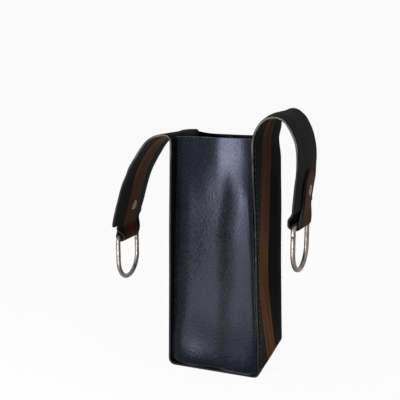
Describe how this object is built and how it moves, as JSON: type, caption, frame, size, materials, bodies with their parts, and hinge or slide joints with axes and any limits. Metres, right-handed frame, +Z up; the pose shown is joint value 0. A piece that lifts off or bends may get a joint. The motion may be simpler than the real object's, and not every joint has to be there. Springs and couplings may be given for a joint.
{
  "type": "bottle carrier",
  "caption": "Tall narrow leather bottle carrier whose side strip runs on into hanging straps, each ending in a riveted loop with a spring-gate carabiner",
  "frame": {"origin": "middle of the base underside", "axes": "+Z up, front panel faces -Y, straps leave to -X and +X"},
  "size_m": [0.2144, 0.098, 0.2645],
  "materials": {
    "panel_leather": "fine cross-hatch grain, semi-gloss",
    "strip_leather": "smooth, matt, raw grey edges",
    "stripe_leather": "smooth, satin",
    "thread": "twisted thread",
    "rivet_metal": "satin nickel",
    "carabiner_steel": "polished"
  },
  "bodies": {
    "bag": {"front_panel": "panel_leather", "back_panel": "panel_leather", "base": "strip_leather", "base_stripe": "stripe_leather", "left_gusset": "strip_leather", "left_gusset_stripe": "stripe_leather", "right_gusset": "strip_leather", "right_gusset_stripe": "stripe_leather", "front_seam_thread": "thread", "back_seam_thread": "thread"},
    "left_strap_lower_stretch": {"left_strap_lower": "strip_leather", "left_strap_lower_stripe": "stripe_leather"},
    "left_strap_end_stretch": {"left_strap_end": "strip_leather", "left_strap_end_stripe": "stripe_leather", "left_rivet_post": "rivet_metal", "left_rivet_cap": "rivet_metal"},
    "left_carabiner": {"left_carabiner_body": "carabiner_steel", "left_carabiner_gate_pin": "carabiner_steel"},
    "left_gate": {"left_carabiner_gate": "carabiner_steel", "left_carabiner_gate_spring": "carabiner_steel"},
    "right_strap_lower_stretch": {"right_strap_lower": "strip_leather", "right_strap_lower_stripe": "stripe_leather"},
    "right_strap_end_stretch": {"right_strap_end": "strip_leather", "right_strap_end_stripe": "stripe_leather", "right_rivet_post": "rivet_metal", "right_rivet_cap": "rivet_metal"},
    "right_carabiner": {"right_carabiner_body": "carabiner_steel", "right_carabiner_gate_pin": "carabiner_steel"},
    "right_gate": {"right_carabiner_gate": "carabiner_steel", "right_carabiner_gate_spring": "carabiner_steel"}
  },
  "joints": [
    {"name": "left_strap_root_bend", "type": "hinge", "parent": "bag", "child": "left_strap_lower_stretch", "pos_m": [-0.04819, 0, 0.24174], "axis": [0, 1, 0], "range_deg": [-8, 85], "stiffness_Nm_per_rad": 0.8, "springref_deg": 2.58},
    {"name": "left_strap_middle_bend", "type": "hinge", "parent": "left_strap_lower_stretch", "child": "left_strap_end_stretch", "pos_m": [-0.08675, 0, 0.22749], "axis": [0, 1, 0], "range_deg": [-5, 75], "stiffness_Nm_per_rad": 0.8, "springref_deg": 1.15},
    {"name": "left_carabiner_swing", "type": "hinge", "parent": "left_strap_end_stretch", "child": "left_carabiner", "pos_m": [-0.12133, 0, 0.1259], "axis": [0, 1, 0], "range_deg": [-30, 110]},
    {"name": "left_gate_open", "type": "hinge", "parent": "left_carabiner", "child": "left_gate", "pos_m": [-0.12133, 0.023, 0.1174], "axis": [-1, 0, 0], "range_deg": [0, 40], "stiffness_Nm_per_rad": 0.01, "springref_deg": -14.32},
    {"name": "right_strap_root_bend", "type": "hinge", "parent": "bag", "child": "right_strap_lower_stretch", "pos_m": [0.0396, 0, 0.24364], "axis": [0, -1, 0], "range_deg": [-2, 45], "stiffness_Nm_per_rad": 0.8, "springref_deg": 1.49},
    {"name": "right_strap_middle_bend", "type": "hinge", "parent": "right_strap_lower_stretch", "child": "right_strap_end_stretch", "pos_m": [0.05908, 0, 0.2633], "axis": [0, -1, 0], "range_deg": [-3, 135], "stiffness_Nm_per_rad": 0.8, "springref_deg": 0.74},
    {"name": "right_carabiner_swing", "type": "hinge", "parent": "right_strap_end_stretch", "child": "right_carabiner", "pos_m": [0.07756, 0, 0.15342], "axis": [-0.1049, -0.9945, 0], "range_deg": [-8, 110]},
    {"name": "right_gate_open", "type": "hinge", "parent": "right_carabiner", "child": "right_gate", "pos_m": [0.07515, -0.02287, 0.14492], "axis": [0.9945, -0.1049, 0], "range_deg": [0, 40], "stiffness_Nm_per_rad": 0.01, "springref_deg": -14.32}
  ]
}
